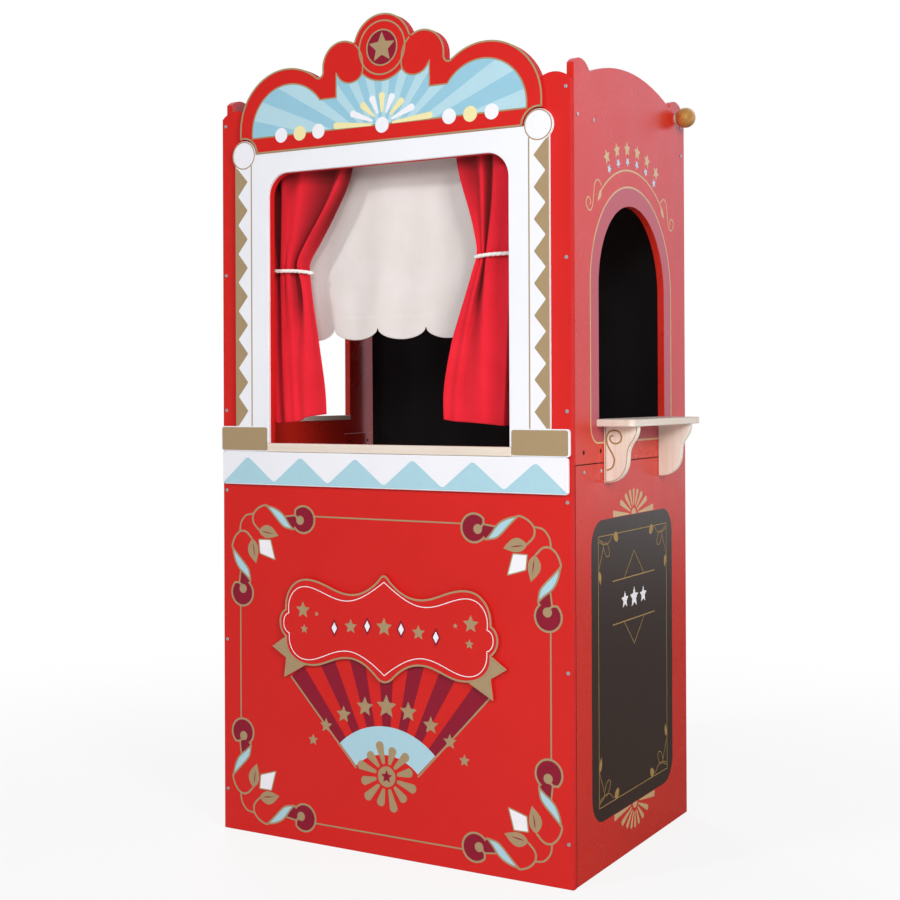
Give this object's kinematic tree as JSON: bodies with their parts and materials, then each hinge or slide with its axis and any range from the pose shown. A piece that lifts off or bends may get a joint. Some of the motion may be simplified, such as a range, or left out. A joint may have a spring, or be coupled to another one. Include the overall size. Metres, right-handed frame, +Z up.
{
  "type": "puppet theater stand",
  "caption": "Floor-standing puppet theatre of painted boards with stage opening, curtains, arched side windows, counter shelf and menu board",
  "frame": {"origin": "on the floor, at the middle of the front wall's foot", "axes": "+X to the viewer's right, +Y from the stage to the open back, +Z up"},
  "size_m": [0.755, 0.4788, 1.3498],
  "materials": {
    "red_paint": "satin paint on fibreboard",
    "white_paint": "satin paint with printed ornament",
    "natural_wood": "clear lacquered pale timber",
    "curtain_cloth": "plain woven cotton",
    "cream_cloth": "plain woven cotton",
    "black_cloth": "dense black cotton",
    "white_cord": "twisted cotton cord",
    "gold": "gold lacquer",
    "zinc": "zinc plated"
  },
  "bodies": {
    "root": {"back_rail": "red_paint", "bracket_screw_back": "zinc", "bracket_screw_front": "zinc", "counter_shelf": "natural_wood", "crown_board": "red_paint", "curtain_rod": "natural_wood", "frieze_board": "white_paint", "front_screw_left_1": "zinc", "front_screw_left_2": "zinc", "front_screw_left_3": "zinc", "front_screw_left_4": "zinc", "front_screw_left_5": "zinc", "front_screw_left_6": "zinc", "front_screw_right_1": "zinc", "front_screw_right_2": "zinc", "front_screw_right_3": "zinc", "front_screw_right_4": "zinc", "front_screw_right_5": "zinc", "front_screw_right_6": "zinc", "front_stretcher": "natural_wood", "joining_plate_back_left": "red_paint", "joining_plate_back_right": "red_paint", "joining_plate_front_left": "red_paint", "joining_plate_front_right": "red_paint", "lower_front_panel": "red_paint", "lower_side_panel_left": "red_paint", "lower_side_panel_right": "red_paint", "proscenium_board": "white_paint", "rail_screw_left_1": "zinc", "rail_screw_left_2": "zinc", "rail_screw_right_1": "zinc", "rail_screw_right_2": "zinc", "screen_rod": "natural_wood", "shelf_bracket_back": "natural_wood", "shelf_bracket_front": "natural_wood", "sign_board": "red_paint", "stage_sill": "natural_wood", "stretcher_screw_left_1": "zinc", "stretcher_screw_left_2": "zinc", "stretcher_screw_right_1": "zinc", "stretcher_screw_right_2": "zinc", "upper_front_panel": "red_paint", "upper_side_panel_left": "red_paint", "upper_side_panel_right": "red_paint", "window_sill_left": "natural_wood", "window_sill_right": "natural_wood"},
    "curtain_left": {"curtain_left": "curtain_cloth", "tie_rope_left": "white_cord", "tie_toggle_left": "white_cord"},
    "curtain_right": {"curtain_right": "curtain_cloth", "tie_rope_right": "white_cord", "tie_toggle_right": "white_cord"},
    "screen": {"screen_cloth": "cream_cloth"},
    "backdrop": {"backdrop_cloth": "black_cloth"},
    "backdrop_rod": {"backdrop_rod": "natural_wood", "ball_finial_left": "gold", "ball_finial_right": "gold"}
  },
  "joints": [
    {"name": "curtain_left_slide", "type": "slide", "parent": "root", "child": "curtain_left", "axis": [1, 0, 0], "range_m": [0, 0.07]},
    {"name": "curtain_right_slide", "type": "slide", "parent": "root", "child": "curtain_right", "axis": [-1, 0, 0], "range_m": [0, 0.08]},
    {"name": "screen_swing", "type": "hinge", "parent": "root", "child": "screen", "pos_m": [0, 0.0475, 1.135], "axis": [1, 0, 0], "range_deg": [0, 70]},
    {"name": "backdrop_swing", "type": "hinge", "parent": "root", "child": "backdrop", "pos_m": [0, 0.4245, 1.219], "axis": [1, 0, 0], "range_deg": [-18, 5]},
    {"name": "backdrop_rod_spin", "type": "hinge", "parent": "root", "child": "backdrop_rod", "pos_m": [0, 0.4245, 1.219], "axis": [1, 0, 0], "continuous": true}
  ]
}
